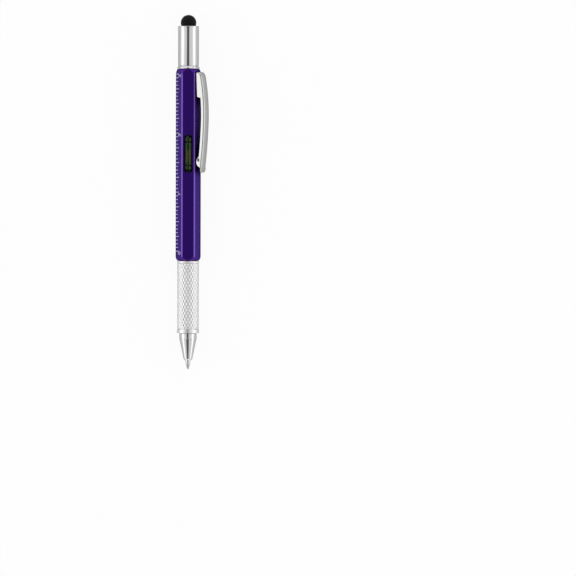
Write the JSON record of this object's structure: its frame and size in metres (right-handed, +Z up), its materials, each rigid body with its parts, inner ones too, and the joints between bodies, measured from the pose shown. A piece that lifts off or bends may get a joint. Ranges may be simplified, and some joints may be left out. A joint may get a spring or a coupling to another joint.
{
  "type": "multi tool pen",
  "caption": "Hexagonal twist-action ball pen with a spirit level, an inch ruler face, a pocket clip, a screwdriver bit under its cap and a stylus tip on the cap.",
  "frame": {"origin": "middle of the barrel flat that the pen rests on, opposite the spirit level", "axes": "+Y along the pen towards the stylus, +Z up through the spirit level's flat, +X to the side that carries the clip"},
  "size_m": [0.0143, 0.1524, 0.0111],
  "materials": {
    "violet_lacquer": "gloss violet lacquer",
    "bright_chrome": "polished",
    "satin_chrome": "satin",
    "plain_steel": "satin",
    "plain_brass": "satin",
    "tool_steel": "satin",
    "black_rubber": "matte",
    "black_plastic": "satin",
    "pale_plastic": "satin",
    "clear_vial": "gloss",
    "level_fluid_green": "gloss",
    "level_bubble_olive": "gloss"
  },
  "bodies": {
    "barrel": {"hex_barrel": "violet_lacquer", "threaded_collar": "bright_chrome", "cap_seal_ring": "black_rubber", "bit_socket": "plain_brass", "bit_magnet": "plain_steel", "level_frame": "black_plastic", "level_vial": "clear_vial", "vial_plug": "black_plastic", "level_mark_upper": "black_plastic", "level_mark_lower": "black_plastic", "level_fluid": "level_fluid_green", "twist_bearing": "bright_chrome", "cam_sleeve": "plain_brass"},
    "clip": {"pocket_clip": "satin_chrome"},
    "cap": {"stylus_cap": "bright_chrome", "stylus_core": "plain_brass", "stylus_tip": "black_rubber"},
    "bit": {"driver_bit": "tool_steel"},
    "bubble": {"level_bubble": "level_bubble_olive"},
    "grip": {"grip_sleeve": "bright_chrome", "guide_tube": "plain_brass", "snap_ring": "plain_steel", "friction_washer": "pale_plastic"},
    "nose": {"nose_cone": "bright_chrome"},
    "refill": {"refill_carrier": "pale_plastic", "cross_pin": "plain_steel", "refill_tube": "plain_steel", "refill_tip": "plain_brass", "writing_ball": "plain_steel"}
  },
  "joints": [
    {"name": "grip_twist", "type": "hinge", "parent": "barrel", "child": "grip", "pos_m": [0, -0.04135, 0.00483], "axis": [0, 1, 0], "range_deg": [-180, 0]},
    {"name": "refill_feed", "type": "slide", "parent": "grip", "child": "refill", "axis": [0, 1, 0], "range_m": [0, 0.0055]},
    {"name": "nose_release", "type": "slide", "parent": "grip", "child": "nose", "axis": [0, -1, 0], "range_m": [0, 0.014]},
    {"name": "cap_lift", "type": "slide", "parent": "barrel", "child": "cap", "axis": [0, 1, 0], "range_m": [0, 0.04]},
    {"name": "bit_pull", "type": "slide", "parent": "barrel", "child": "bit", "axis": [0, 1, 0], "range_m": [0, 0.018]},
    {"name": "clip_flex", "type": "hinge", "parent": "barrel", "child": "clip", "pos_m": [0.00418, 0.03985, 0.00724], "axis": [-0.5, 0, 0.866], "range_deg": [0, 4.5], "stiffness_Nm_per_rad": 2.4},
    {"name": "bubble_travel", "type": "slide", "parent": "barrel", "child": "bubble", "axis": [0, 1, 0], "range_m": [-0.0026, 0.0043], "deforming": ["level_fluid"]}
  ],
  "couplings": [
    {"joint": "refill_feed", "follows": "grip_twist", "m_per_rad": -0.00175},
    {"joint": "bit_pull", "follows": "cap_lift", "ratio": 0.45}
  ]
}
